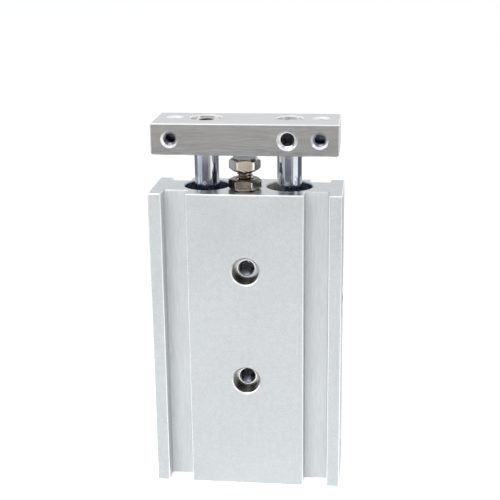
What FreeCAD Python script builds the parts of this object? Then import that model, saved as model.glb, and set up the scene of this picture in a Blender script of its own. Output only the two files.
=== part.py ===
import FreeCAD, Part

import os
import re

import Sketcher

# A twin-rod guided air cylinder, standing on its head end with the rods up.
# Two pistons in two parallel bores push one plate, so the plate cannot turn.
# +X runs across both rods, +Y towards the back, +Z along the rods.
# The origin is the middle of the body's lower end face.

# Driving sizes in millimetres (turns in degrees): name, value, what it is.
SIZES = [
    ("stroke", 30.0, "travel of the plate"),
    ("body_width", 46.0, "body across both rods"),
    ("body_depth", 17.0, "body from front to back"),
    ("edge_chamfer", 0.25, "edges of the body's end faces"),
    ("corner_margin", 0.1, "rounding of the body's long edges, beyond the end chamfer"),
    ("front_groove_width", 5.8, "front sensor grooves"),
    ("front_groove_depth", 4.0, "front sensor grooves"),
    ("front_groove_middle", 16.9, "front groove from the body's middle"),
    ("rear_groove_width", 4.6, "rear sensor grooves"),
    ("rear_groove_depth", 2.8, "rear sensor grooves"),
    ("rear_groove_middle", 17.2, "rear groove from the body's middle"),
    ("groove_round", 0.5, "inner corners of all four grooves"),
    ("rod_pitch", 20.0, "between the two rods"),
    ("rod_setback", 1.2, "rods behind the body's middle plane"),
    ("rod_diameter", 6.0, "both rods"),
    ("bore_diameter", 10.0, "both bores"),
    ("seat_diameter", 11.0, "both ends of each bore, where the covers sit"),
    ("mouth_chamfer", 0.25, "mouths of bores and screw holes"),
    ("mount_height", 28.0, "lower mounting hole above the lower end"),
    ("mount_pitch", 28.0, "between the mounting holes"),
    ("mount_diameter", 4.0, "thread size of the mounting holes"),
    ("mount_sink_diameter", 6.5, "counterbores of the mounting holes"),
    ("mount_sink_depth", 3.3, "counterbores of the mounting holes"),
    ("mount_chamfer", 0.3, "mouths of the counterbores"),
    ("port_diameter", 5.0, "thread size of the air ports"),
    ("port_depth", 5.5, "air ports"),
    ("port_chamfer", 0.4, "mouths of the air ports"),
    ("passage_diameter", 2.4, "drilling that joins ports and bores"),
    ("passage_margin", 0.3, "passage clear of the covers"),
    ("plug_length", 4.0, "socket plugs in the right-hand ports"),
    ("plug_recess", 0.4, "plugs below the body's side"),
    ("plug_socket", 2.5, "plugs' hexagon across its flats"),
    ("plug_socket_depth", 1.8, "plugs' hexagon"),
    ("ring_thickness", 0.8, "spring retaining rings"),
    ("ring_width", 1.0, "spring retaining rings, across the band"),
    ("ring_opening", 50.0, "gap in a retaining ring, as an angle"),
    ("ring_groove_depth", 0.45, "grooves of the retaining rings"),
    ("ring_groove_width", 0.9, "grooves of the retaining rings"),
    ("head_recess", 0.9, "lower end face to its ring groove"),
    ("head_cover_thickness", 4.6, "head covers"),
    ("rod_recess", 3.2, "upper end face to its ring groove"),
    ("rod_cover_length", 21.5, "rod covers"),
    ("cover_gap", 0.03, "covers clear of their seats, on the radius"),
    ("cover_chamfer", 0.3, "lower edges of the head covers"),
    ("bearing_gap", 0.03, "rods clear of their bushes, on the radius"),
    ("gland_diameter", 9.2, "seat of a rod's lip seal"),
    ("gland_depth", 2.4, "seat of a rod's lip seal"),
    ("seal_gap", 0.03, "seals clear of what they seal, on the radius"),
    ("seal_retainer_thickness", 0.8, "washers over the lip seals"),
    ("retainer_gap", 0.3, "washers clear of the rods, on the radius"),
    ("end_gap", 0.1, "pistons clear of the covers at both ends of the stroke"),
    ("bumper_thickness", 1.2, "pads at both ends of a piston"),
    ("bumper_diameter", 8.0, "pads at both ends of a piston"),
    ("holder_thickness", 2.6, "ring nut that holds a magnet"),
    ("magnet_length", 2.8, "magnet rings"),
    ("magnet_diameter", 9.4, "magnet rings"),
    ("neck_diameter", 6.0, "piston neck inside the magnet"),
    ("piston_length", 4.2, "piston above its magnet"),
    ("piston_gap", 0.04, "pistons clear of the bores, on the radius"),
    ("piston_seal_width", 2.0, "groove of a piston seal"),
    ("piston_seal_depth", 1.2, "groove of a piston seal"),
    ("spigot_diameter", 4.0, "rod's lower end inside its piston"),
    ("spigot_length", 7.8, "rod's lower end inside its piston"),
    ("seat_gap", 0.02, "pieces clear of each other where one sits in the other, on the radius"),
    ("plate_gap", 9.0, "body to plate with the rods in"),
    ("plate_width", 44.0, "end plate"),
    ("plate_depth", 15.0, "end plate"),
    ("plate_thickness", 7.5, "end plate"),
    ("plate_chamfer", 0.25, "edges of the end plate"),
    ("plate_pitch", 35.0, "between the plate's outer tapped holes"),
    ("plate_thread", 3.0, "thread size of the plate's outer holes"),
    ("plate_thread_depth", 5.0, "tapped holes in the plate's front"),
    ("plate_thread_mouth", 4.1, "countersinks of the plate's tapped holes"),
    ("rod_seat_depth", 1.2, "rod A let into the plate's underside"),
    ("rod_end_recess", 0.6, "rod B below the plate's top"),
    ("rod_end_chamfer", 0.4, "free ends of the rods"),
    ("cap_thread", 4.0, "cap screw"),
    ("cap_length", 9.0, "cap screw under its head"),
    ("cap_clearance", 0.15, "cap screw clear of the plate, on the radius"),
    ("cap_head_diameter", 7.0, "cap screw's head"),
    ("cap_head_height", 4.0, "cap screw's head"),
    ("cap_head_recess", 0.5, "cap screw's head below the plate's top"),
    ("cap_sink_gap", 0.2, "cap screw's head clear of its counterbore, on the radius"),
    ("cap_socket", 3.0, "cap screw's hexagon across its flats"),
    ("cap_socket_depth", 2.0, "cap screw's hexagon"),
    ("set_thread", 4.0, "set screw"),
    ("set_length", 4.0, "set screw"),
    ("set_mouth", 4.9, "countersink of the set screw's hole"),
    ("set_socket", 2.0, "set screw's hexagon across its flats"),
    ("set_socket_depth", 1.6, "set screw's hexagon"),
    ("bolt_thread", 4.0, "stop bolt"),
    ("bolt_forward", 2.2, "stop bolt in front of the body's middle plane"),
    ("bolt_left", 0.45, "stop bolt to the left of the middle between the rods"),
    ("bolt_length", 14.0, "stop bolt under its head"),
    ("bolt_hole_depth", 13.0, "tapped hole of the stop bolt"),
    ("bolt_flats", 7.0, "stop bolt's head across its flats"),
    ("bolt_head_height", 3.1, "stop bolt's head"),
    ("bolt_head_turn", 10.0, "stop bolt's head, turned about its axis"),
    ("bolt_plate_gap", 1.15, "pad on the bolt clear of the plate with the rods in"),
    ("pad_diameter", 5.6, "pad in the bolt's head"),
    ("pad_thickness", 1.1, "pad in the bolt's head"),
    ("pad_proud", 0.2, "pad above the bolt's head"),
    ("nut_flats", 7.0, "lock nut across its flats"),
    ("nut_height", 2.6, "lock nut"),
    ("hex_face_ratio", 0.94, "round end face of a hexagon as a share of its flats"),
    ("thread_gap", 0.05, "screws clear of their holes, on the radius"),
]

# Places and sizes that follow from the driving ones, all measured up from the lower end face.
PLACES = [
    ("head_cover_bottom", "head_recess + ring_groove_width"),
    ("head_cover_top", "head_cover_bottom + head_cover_thickness"),
    ("piston_set_bottom", "head_cover_top + end_gap"),
    ("holder_bottom", "piston_set_bottom + bumper_thickness"),
    ("magnet_bottom", "holder_bottom + holder_thickness"),
    ("piston_bottom", "magnet_bottom + magnet_length"),
    ("piston_top", "piston_bottom + piston_length"),
    ("spigot_bottom", "piston_top - spigot_length"),
    ("rod_cover_bottom", "piston_top + bumper_thickness + stroke + end_gap"),
    ("rod_cover_top", "rod_cover_bottom + rod_cover_length"),
    ("rod_ring_bottom", "rod_cover_top + seal_retainer_thickness"),
    ("rod_ring_top", "rod_ring_bottom + ring_groove_width"),
    ("body_length", "rod_ring_top + rod_recess"),
    ("head_port", "head_cover_top + passage_margin + passage_diameter / 2"),
    ("rod_port", "rod_cover_bottom - passage_margin - passage_diameter / 2"),
    ("plate_bottom", "body_length + plate_gap"),
    ("plate_top", "plate_bottom + plate_thickness"),
    ("plate_middle", "plate_bottom + plate_thickness / 2"),
    ("cap_seat", "plate_top - cap_head_recess - cap_head_height"),
    ("bolt_head_top", "plate_bottom - bolt_plate_gap - pad_proud"),
    ("bolt_head_bottom", "bolt_head_top - bolt_head_height"),
]

doc = FreeCAD.newDocument("guided_cylinder")
sizes = doc.addObject("Spreadsheet::Sheet", "Sizes")
places = doc.addObject("Spreadsheet::Sheet", "Places")
OWNER = {}


def qualified(text):
    """A formula with each name led by the sheet that holds it."""
    return re.sub(r"[a-z_]+", lambda word: OWNER.get(word.group(), "") + word.group(), text)


def fill_sheets():
    for row, (name, value, note) in enumerate(SIZES, start=1):
        sizes.set(f"A{row}", note)
        sizes.set(f"B{row}", str(value))
        sizes.setAlias(f"B{row}", name)
        OWNER[name] = "Sizes."
    for row, (name, formula) in enumerate(PLACES, start=1):
        places.setAlias(f"B{row}", name)
    for row, (name, formula) in enumerate(PLACES, start=1):
        places.set(f"A{row}", name)
        places.set(f"B{row}", "=" + qualified(formula))
    for name, formula in PLACES:
        OWNER[name] = "Places."
    doc.recompute()


def amount(name):
    """The number that a named cell holds now."""
    sheet = sizes if OWNER[name] == "Sizes." else places
    return float(sheet.get(name))


def bind(item, path, text):
    item.setExpression(path, qualified(text))


# ---------------------------------------------------------------- sketches and features


def new_body(name, x="0", y="0", z="0", axis=(0, 0, 1), turn="0"):
    """A sub-part with its own origin, set in its place and turned about one axis."""
    body = doc.addObject("PartDesign::Body", name)
    body.Label = name
    place(body, x, y, z, axis, turn)
    return body


def place(item, x, y, z, axis=(0, 0, 1), turn="0"):
    item.Placement = FreeCAD.Placement(FreeCAD.Vector(), FreeCAD.Rotation(FreeCAD.Vector(*axis), 1))
    bind(item, "Placement.Base.x", x)
    bind(item, "Placement.Base.y", y)
    bind(item, "Placement.Base.z", z)
    bind(item, "Placement.Rotation.Angle", turn)


def new_sketch(body, plane, name, right="0", up="0", out="0"):
    """A sketch on one of the body's origin planes, its origin moved right, up and out along the normal."""
    sketch = body.newObject("Sketcher::SketchObject", name)
    for feature in body.Origin.OriginFeatures:
        if feature.Role == plane:
            sketch.AttachmentSupport = [(feature, "")]
    sketch.MapMode = "FlatFace"
    bind(sketch, "AttachmentOffset.Base.x", right)
    bind(sketch, "AttachmentOffset.Base.y", up)
    bind(sketch, "AttachmentOffset.Base.z", out)
    return sketch


def tie_point(sketch, geometry, point, x, y):
    """Holds one point of a sketch at named distances from the sketch's origin."""
    now = sketch.getPoint(geometry, point)
    for kind, axis, text, value in (("DistanceX", -2, x, now.x), ("DistanceY", -1, y, now.y)):
        if text == "0":
            sketch.addConstraint(Sketcher.Constraint("PointOnObject", geometry, point, axis))
        else:
            index = sketch.addConstraint(Sketcher.Constraint(kind, -1, 1, geometry, point, value))
            bind(sketch, f"Constraints[{index}]", text)


def draw_outline(sketch, corners):
    """A closed outline of straight lines through corners given as formulas."""
    count = len(corners)
    ring = FreeCAD.Vector(10, 0, 0)
    turn = FreeCAD.Rotation(FreeCAD.Vector(0, 0, 1), 360 / count)
    points = [ring]
    for step in range(count - 1):
        points.append(turn.multVec(points[-1]))
    first = sketch.GeometryCount
    for step, start in enumerate(points):
        sketch.addGeometry(Part.LineSegment(start, points[(step + 1) % count]), False)
    for step in range(count):
        following = first + (step + 1) % count
        sketch.addConstraint(Sketcher.Constraint("Coincident", first + step, 2, following, 1))
    for step, (x, y) in enumerate(corners):
        tie_point(sketch, first + step, 1, x, y)


def draw_circle(sketch, x, y, diameter):
    index = sketch.addGeometry(Part.Circle(FreeCAD.Vector(1, 1, 0), FreeCAD.Vector(0, 0, 1), 1), False)
    tie_point(sketch, index, 3, x, y)
    size = sketch.addConstraint(Sketcher.Constraint("Diameter", index, 2))
    bind(sketch, f"Constraints[{size}]", diameter)


def hexagon(flats):
    """The corners of a hexagon with two flats facing front and back."""
    reach, half, side = f"({flats}) / sqrt(3)", f"({flats}) / 2", f"({flats}) / sqrt(12)"
    right = [(side, f"-({half})"), (reach, "0"), (side, half)]
    return right + [(f"-({x})", y) for x, y in reversed(right)]


def pad(body, sketch, name, length):
    feature = body.newObject("PartDesign::Pad", name)
    feature.Profile = sketch
    bind(feature, "Length", length)
    return feature


def pocket(body, sketch, name, depth):
    """Cuts against the sketch's normal."""
    feature = body.newObject("PartDesign::Pocket", name)
    feature.Profile = sketch
    bind(feature, "Length", depth)
    return feature


def revolve(body, kind, name, corners, plane="XZ_Plane", axis="V_Axis", **offset):
    """Turns an outline of (radius, height) corners about an axis: Revolution adds, Groove cuts."""
    sketch = new_sketch(body, plane, name + "_outline", **offset)
    draw_outline(sketch, corners)
    feature = body.newObject("PartDesign::" + kind, name)
    feature.Profile = sketch
    feature.ReferenceAxis = (sketch, [axis])
    feature.Angle = 360
    return feature


def drill(body, sketch, name, diameter, depth=None, mouth=None, sink=None):
    """Drills a sketch's circles; mouth is a 90 degree countersink, sink a (diameter, depth) counterbore."""
    doc.recompute()
    feature = body.newObject("PartDesign::Hole", name)
    feature.Profile = sketch
    feature.DrillPoint = "Flat"
    bind(feature, "Diameter", diameter)
    if depth is None:
        feature.DepthType = "ThroughAll"
    else:
        feature.DepthType = "Dimension"
        bind(feature, "Depth", depth)
    if mouth:
        feature.HoleCutType = "Countersink"
        feature.HoleCutCountersinkAngle = 90
        bind(feature, "HoleCutDiameter", mouth)
    if sink:
        feature.HoleCutType = "Counterbore"
        bind(feature, "HoleCutDiameter", sink[0])
        bind(feature, "HoleCutDepth", sink[1])
    return feature


def dress_edges(body, kind, name, size, chosen):
    """Fillets or chamfers every edge of the body's last feature that passes the test."""
    doc.recompute()
    base = body.Tip
    edges = [f"Edge{index}" for index, edge in enumerate(base.Shape.Edges, start=1) if chosen(edge)]
    feature = body.newObject("PartDesign::" + kind, name)
    feature.Base = (base, edges)
    bind(feature, "Radius" if kind == "Fillet" else "Size", size)
    return feature


def is_upright(edge):
    start, end = edge.Vertexes[0].Point, edge.Vertexes[-1].Point
    return abs(start.z - end.z) > 1 and abs(start.x - end.x) < 0.001 and abs(start.y - end.y) < 0.001


def lies_level(edge, height):
    return edge.BoundBox.ZLength < 0.001 and abs(edge.BoundBox.ZMin - height) < 0.001


# ---------------------------------------------------------------- the body and what is fixed to it


def body_section():
    """The extruded outline: a block with two deep grooves in front and two shallow ones behind."""
    half_width, half_depth = "body_width / 2", "body_depth / 2"
    front_in = "front_groove_middle - front_groove_width / 2"
    front_out = "front_groove_middle + front_groove_width / 2"
    front_floor = "front_groove_depth - body_depth / 2"
    rear_in = "rear_groove_middle - rear_groove_width / 2"
    rear_out = "rear_groove_middle + rear_groove_width / 2"
    rear_floor = "body_depth / 2 - rear_groove_depth"
    front, rear = f"-({half_depth})", half_depth
    right = [(front_in, front), (front_in, front_floor), (front_out, front_floor), (front_out, front)]
    right += [(half_width, front), (half_width, rear)]
    right += [(rear_out, rear), (rear_out, rear_floor), (rear_in, rear_floor), (rear_in, rear)]
    return right + [(f"-({x})", y) for x, y in reversed(right)]


def bore_section():
    """Half of one bore: the cylinder, a wider cover seat at each end and two ring grooves."""
    bore, seat = "bore_diameter / 2", "seat_diameter / 2"
    ring = "seat_diameter / 2 + ring_groove_depth"
    mouth = "seat_diameter / 2 + mouth_chamfer"
    lower = [("0", "0"), (mouth, "0"), (seat, "mouth_chamfer")]
    lower += [(seat, "head_recess"), (ring, "head_recess")]
    lower += [(ring, "head_cover_bottom"), (seat, "head_cover_bottom")]
    lower += [(seat, "head_cover_top"), (bore, "head_cover_top")]
    upper = [(bore, "rod_cover_bottom"), (seat, "rod_cover_bottom")]
    upper += [(seat, "rod_ring_bottom"), (ring, "rod_ring_bottom")]
    upper += [(ring, "rod_ring_top"), (seat, "rod_ring_top")]
    upper += [(seat, "body_length - mouth_chamfer"), (mouth, "body_length"), ("0", "body_length")]
    return lower + upper


def mount_section():
    """Half of a mounting hole that is counterbored from the front and from the back."""
    hole, sink = "mount_diameter / 2", "mount_sink_diameter / 2"
    mouth = "mount_sink_diameter / 2 + mount_chamfer"
    front = [("0", "-body_depth / 2"), (mouth, "-body_depth / 2"), (sink, "mount_chamfer - body_depth / 2")]
    front += [(sink, "mount_sink_depth - body_depth / 2"), (hole, "mount_sink_depth - body_depth / 2")]
    return front + [(x, "0" if y == "0" else f"-({y})") for x, y in reversed(front)]


def port_section():
    """Half of a cross drilling, as (place, radius): a port in each side and the passage between them."""
    port, passage = "port_diameter / 2", "passage_diameter / 2"
    left = [("-body_width / 2", "0"), ("-body_width / 2", "port_diameter / 2 + port_chamfer")]
    left += [("port_chamfer - body_width / 2", port), ("port_depth - body_width / 2", port)]
    left += [("port_depth - body_width / 2", passage)]
    return left + [(f"-({x})", y) for x, y in reversed(left)]


def make_housing():
    body = new_body("housing")
    section = new_sketch(body, "XY_Plane", "section")
    draw_outline(section, body_section())
    pad(body, section, "extrusion", "body_length")
    half_width, half_depth = amount("body_width") / 2, amount("body_depth") / 2

    def is_outer(edge):
        point = edge.Vertexes[0].Point
        return abs(point.x) > half_width - 0.01 or abs(point.y) > half_depth - 0.01

    dress_edges(body, "Fillet", "groove_corners", "groove_round",
                lambda edge: is_upright(edge) and not is_outer(edge))
    dress_edges(body, "Fillet", "long_edges", "edge_chamfer + corner_margin",
                lambda edge: is_upright(edge) and is_outer(edge))
    length = amount("body_length")
    dress_edges(body, "Chamfer", "end_edges", "edge_chamfer",
                lambda edge: lies_level(edge, 0) or lies_level(edge, length))
    for side, place_x in (("left", "-rod_pitch / 2"), ("right", "rod_pitch / 2")):
        revolve(body, "Groove", "bore_" + side, bore_section(), right=place_x, out="-rod_setback")
    for end, height in (("head", "head_port"), ("rod", "rod_port")):
        revolve(body, "Groove", end + "_end_ports", port_section(), plane="XY_Plane", axis="H_Axis",
                up="rod_setback", out=height)
    for end, height in (("lower", "mount_height"), ("upper", "mount_height + mount_pitch")):
        revolve(body, "Groove", end + "_mount", mount_section(), plane="XY_Plane", out=height)
    bolt_place = new_sketch(body, "XY_Plane", "bolt_place", out="body_length")
    draw_circle(bolt_place, "-bolt_left", "-bolt_forward", "bolt_thread")
    drill(body, bolt_place, "bolt_hole", "bolt_thread", depth="bolt_hole_depth",
          mouth="bolt_thread + 2 * mouth_chamfer")
    return body


def make_ring(name, x, z, inner, outer, thickness, sweep=None):
    """A flat ring about a bore's axis, from one radius to another, closed or open over an angle."""
    body = new_body(name, x, "rod_setback", z)
    corners = [(inner, "0"), (outer, "0"), (outer, thickness), (inner, thickness)]
    ring = revolve(body, "Revolution", "ring", corners)
    if sweep:
        bind(ring, "Angle", sweep)
    return body


def make_rod_cover(name, x):
    """A bearing bush with the lip seal's seat in its top."""
    body = new_body(name, x, "rod_setback", "rod_cover_bottom")
    outer, land, seat = "seat_diameter / 2 - cover_gap", "rod_diameter / 2 + bearing_gap", "gland_diameter / 2"
    top, floor = "rod_cover_length", "rod_cover_length - gland_depth"
    corners = [(land, "0"), (outer, "0"), (outer, top), (seat, top), (seat, floor), (land, floor)]
    revolve(body, "Revolution", "bush", corners)
    return body


def make_head_cover(name, x):
    """A round plug, chamfered below."""
    body = new_body(name, x, "rod_setback", "head_cover_bottom")
    outer, top = "seat_diameter / 2 - cover_gap", "head_cover_thickness"
    corners = [("0", "0"), (f"{outer} - cover_chamfer", "0"), (outer, "cover_chamfer"), (outer, top), ("0", top)]
    revolve(body, "Revolution", "plug", corners)
    return body


def make_rod_seal(name, x):
    inner, outer = "rod_diameter / 2 + seal_gap", "gland_diameter / 2 - seat_gap"
    return make_ring(name, x, "rod_cover_top - gland_depth", inner, outer, "gland_depth - seat_gap")


def make_washer(name, x):
    """The washer that keeps a lip seal in its seat."""
    inner, outer = "rod_diameter / 2 + retainer_gap", "seat_diameter / 2 - cover_gap"
    return make_ring(name, x, "rod_cover_top", inner, outer, "seal_retainer_thickness")


def make_retaining_ring(name, x, z):
    """A spring ring in its groove, open over a small angle so that it can be pulled out."""
    outer = "seat_diameter / 2 + ring_groove_depth - seat_gap"
    return make_ring(name, x, z, f"{outer} - ring_width", outer, "ring_thickness", "360 - ring_opening")


def cut_socket(body, flats, depth, height):
    sketch = new_sketch(body, "XY_Plane", "socket_outline", out=height)
    draw_outline(sketch, hexagon(flats))
    pocket(body, sketch, "socket", depth)


def make_port_plug(name, height):
    """A socket plug, flush inside its port, screwed in from the right-hand side."""
    start = "body_width / 2 - plug_recess - plug_length"
    body = new_body(name, start, "rod_setback", height, axis=(0, 1, 0), turn="90")
    outer = "port_diameter / 2 - thread_gap"
    corners = [("0", "0"), (f"{outer} - mouth_chamfer", "0"), (outer, "mouth_chamfer")]
    corners += [(outer, "plug_length - mouth_chamfer"), (f"{outer} - mouth_chamfer", "plug_length")]
    corners += [("0", "plug_length")]
    revolve(body, "Revolution", "plug", corners)
    cut_socket(body, "plug_socket", "plug_socket_depth", "plug_length")
    return body


def trim_hexagon(body, name, flats, height, upwards=True):
    """Turns the corners off one end of a hexagon at 30 degrees, down to a round face."""
    face, far = f"{flats} * hex_face_ratio / 2", f"{flats} * 0.6"
    drop = f"({far} - {face}) * tan(30 deg)"
    end = f"{height} - {drop}" if upwards else f"{height} + {drop}"
    revolve(body, "Groove", name, [(face, height), (far, height), (far, end)])


def make_lock_nut():
    body = new_body("lock_nut", "-bolt_left", "-bolt_forward", "body_length")
    sketch = new_sketch(body, "XY_Plane", "flats")
    draw_outline(sketch, hexagon("nut_flats"))
    draw_circle(sketch, "0", "0", "bolt_thread")
    pad(body, sketch, "nut", "nut_height")
    trim_hexagon(body, "upper_chamfer", "nut_flats", "nut_height")
    return body


# ---------------------------------------------------------------- the stop bolt


def make_bumper_bolt():
    """The stop bolt: a hexagon head chamfered at both ends, with a seat for its pad, and a shank."""
    low = "bolt_head_bottom - bolt_length"
    body = new_body("bumper_bolt", "-bolt_left", "-bolt_forward", low, turn="bolt_head_turn")
    sketch = new_sketch(body, "XY_Plane", "flats", out="bolt_length")
    draw_outline(sketch, hexagon("bolt_flats"))
    pad(body, sketch, "head", "bolt_head_height")
    shank = "bolt_thread / 2 - thread_gap"
    corners = [("0", "0"), (f"{shank} - edge_chamfer", "0"), (shank, "edge_chamfer")]
    corners += [(shank, "bolt_length"), ("0", "bolt_length")]
    revolve(body, "Revolution", "shank", corners)
    top = "bolt_length + bolt_head_height"
    trim_hexagon(body, "upper_chamfer", "bolt_flats", top)
    trim_hexagon(body, "lower_chamfer", "bolt_flats", "bolt_length", upwards=False)
    seat = new_sketch(body, "XY_Plane", "pad_seat_outline", out=top)
    draw_circle(seat, "0", "0", "pad_diameter + 2 * seat_gap")
    pocket(body, seat, "pad_seat", "pad_thickness - pad_proud")
    return body


def make_bolt_bumper():
    body = new_body("bolt_bumper", "-bolt_left", "-bolt_forward", "bolt_head_top + pad_proud - pad_thickness")
    radius = "pad_diameter / 2"
    corners = [("0", "0"), (radius, "0"), (radius, "pad_thickness - pad_proud / 2")]
    corners += [(f"{radius} - pad_proud / 2", "pad_thickness"), ("0", "pad_thickness")]
    revolve(body, "Revolution", "pad", corners)
    return body


# ---------------------------------------------------------------- what slides


def make_rod(name, x, top, tapped):
    """A rod with a spigot for its piston; rod A is tapped for the cap screw."""
    body = new_body(name, x, "rod_setback", "spigot_bottom")
    radius, spigot, length = "rod_diameter / 2", "spigot_diameter / 2", f"{top} - spigot_bottom"
    corners = [("0", "0"), (f"{spigot} - mouth_chamfer", "0"), (spigot, "mouth_chamfer")]
    corners += [(spigot, "spigot_length"), (radius, "spigot_length")]
    corners += [(radius, f"{length} - rod_end_chamfer"), (f"{radius} - rod_end_chamfer", length)]
    if tapped:
        depth = "cap_length + rod_end_chamfer + mouth_chamfer"
        corners += [("cap_thread / 2", length), ("cap_thread / 2", f"{length} - ({depth})")]
        corners += [("0", f"{length} - ({depth})")]
    else:
        corners += [("0", length)]
    revolve(body, "Revolution", "rod", corners)
    return body


def make_piston(name, x):
    """A piston head with its seal groove, and the neck that carries the magnet below it."""
    body = new_body(name, x, "rod_setback", "magnet_bottom")
    outer, neck, hole = "bore_diameter / 2 - piston_gap", "neck_diameter / 2", "spigot_diameter / 2 + seat_gap"
    floor = f"{outer} - piston_seal_depth"
    low = "magnet_length + (piston_length - piston_seal_width) / 2"
    top = "magnet_length + piston_length"
    corners = [(hole, "0"), (neck, "0"), (neck, "magnet_length"), (outer, "magnet_length")]
    corners += [(outer, low), (floor, low), (floor, f"{low} + piston_seal_width")]
    corners += [(outer, f"{low} + piston_seal_width"), (outer, top), (hole, top)]
    revolve(body, "Revolution", "piston", corners)
    return body


def make_piston_seal(name, x):
    low = "piston_bottom + (piston_length - piston_seal_width) / 2 + seat_gap"
    inner = "bore_diameter / 2 - piston_gap - piston_seal_depth + seat_gap"
    outer = "bore_diameter / 2 - seal_gap"
    return make_ring(name, x, low, inner, outer, "piston_seal_width - 2 * seat_gap")


def make_magnet(name, x):
    inner, outer = "neck_diameter / 2 + seat_gap", "magnet_diameter / 2"
    return make_ring(name, x, "magnet_bottom", inner, outer, "magnet_length")


def make_holder(name, x):
    """The ring nut below a magnet: it holds the magnet and the lower pad's peg."""
    inner, outer = "spigot_diameter / 2 + seat_gap", "bore_diameter / 2 - piston_gap"
    return make_ring(name, x, "holder_bottom", inner, outer, "holder_thickness")


def make_rod_side_bumper(name, x):
    inner, outer = "rod_diameter / 2 + seat_gap", "bumper_diameter / 2"
    return make_ring(name, x, "piston_top", inner, outer, "bumper_thickness")


def make_head_side_bumper(name, x):
    """A round pad with a peg that sits in the holder, under the rod's spigot."""
    body = new_body(name, x, "rod_setback", "piston_set_bottom")
    outer, peg = "bumper_diameter / 2", "spigot_diameter / 2"
    peg_top = "spigot_bottom - piston_set_bottom - seat_gap"
    corners = [("0", "0"), (outer, "0"), (outer, "bumper_thickness"), (peg, "bumper_thickness")]
    corners += [(peg, peg_top), ("0", peg_top)]
    revolve(body, "Revolution", "pad", corners)
    return body


def make_plate():
    """The end plate: tapped on top and in front, counterbored for rod A and clamped on rod B."""
    body = new_body("plate", "0", "0", "plate_bottom")
    half_width, half_depth = "plate_width / 2", "plate_depth / 2"
    outline = new_sketch(body, "XY_Plane", "outline")
    draw_outline(outline, [(f"-({half_width})", f"-({half_depth})"), (half_width, f"-({half_depth})"),
                           (half_width, half_depth), (f"-({half_width})", half_depth)])
    pad(body, outline, "bar", "plate_thickness")
    dress_edges(body, "Chamfer", "edges", "plate_chamfer", lambda edge: True)
    left, right, back = "-rod_pitch / 2", "rod_pitch / 2", "rod_setback"
    outer_pair = ["-plate_pitch / 2", "plate_pitch / 2"]

    seat = new_sketch(body, "XY_Plane", "rod_a_seat_outline", out="rod_seat_depth")
    draw_circle(seat, left, back, "rod_diameter + 2 * seat_gap")
    pocket(body, seat, "rod_a_seat", "rod_seat_depth")

    cap = new_sketch(body, "XY_Plane", "cap_place", out="plate_thickness")
    draw_circle(cap, left, back, "cap_thread")
    drill(body, cap, "cap_hole", "cap_thread + 2 * cap_clearance",
          sink=("cap_head_diameter + 2 * cap_sink_gap", "cap_head_height + cap_head_recess"))

    rod = new_sketch(body, "XY_Plane", "rod_b_place", out="plate_thickness")
    draw_circle(rod, right, back, "rod_diameter")
    drill(body, rod, "rod_b_hole", "rod_diameter + 2 * seat_gap", mouth="rod_diameter + 2 * mouth_chamfer")

    top = new_sketch(body, "XY_Plane", "top_thread_places", out="plate_thickness")
    for x in outer_pair:
        draw_circle(top, x, back, "plate_thread")
    drill(body, top, "top_threads", "plate_thread", mouth="plate_thread_mouth")

    face = new_sketch(body, "XZ_Plane", "front_thread_places", out=half_depth)
    for x in outer_pair:
        draw_circle(face, x, "plate_thickness / 2", "plate_thread")
    drill(body, face, "front_threads", "plate_thread", depth="plate_thread_depth", mouth="plate_thread_mouth")

    clamp = new_sketch(body, "XZ_Plane", "clamp_place", out=half_depth)
    draw_circle(clamp, right, "plate_thickness / 2", "set_thread")
    drill(body, clamp, "clamp_hole", "set_thread", depth="plate_depth / 2 + rod_setback - rod_diameter / 4",
          mouth="set_mouth")

    doc.recompute()
    thickness = amount("plate_thickness")
    sink_radius = amount("cap_head_diameter") / 2 + amount("cap_sink_gap")
    dress_edges(body, "Chamfer", "cap_mouth", "mouth_chamfer",
                lambda edge: lies_level(edge, thickness) and hasattr(edge.Curve, "Radius")
                and abs(edge.Curve.Radius - sink_radius) < 0.001)
    return body


def make_cap_screw():
    body = new_body("cap_screw", "-rod_pitch / 2", "rod_setback", "cap_seat - cap_length")
    shank, head = "cap_thread / 2 - thread_gap", "cap_head_diameter / 2"
    top = "cap_length + cap_head_height"
    corners = [("0", "0"), (f"{shank} - mouth_chamfer", "0"), (shank, "mouth_chamfer")]
    corners += [(shank, "cap_length"), (head, "cap_length"), (head, f"{top} - edge_chamfer")]
    corners += [(f"{head} - edge_chamfer", top), ("0", top)]
    revolve(body, "Revolution", "screw", corners)
    cut_socket(body, "cap_socket", "cap_socket_depth", top)
    return body


def make_set_screw():
    """Points backwards at rod B: its own axis is turned from upright to face the front."""
    tip = "rod_setback - rod_diameter / 2 - seat_gap"
    body = new_body("set_screw", "rod_pitch / 2", tip, "plate_middle", axis=(1, 0, 0), turn="90")
    radius = "set_thread / 2 - thread_gap"
    corners = [("0", "0"), (f"{radius} - edge_chamfer", "0"), (radius, "edge_chamfer")]
    corners += [(radius, "set_length - edge_chamfer"), (f"{radius} - edge_chamfer", "set_length")]
    corners += [("0", "set_length")]
    revolve(body, "Revolution", "screw", corners)
    cut_socket(body, "set_socket", "set_socket_depth", "set_length")
    return body


# ---------------------------------------------------------------- the whole cylinder


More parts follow.
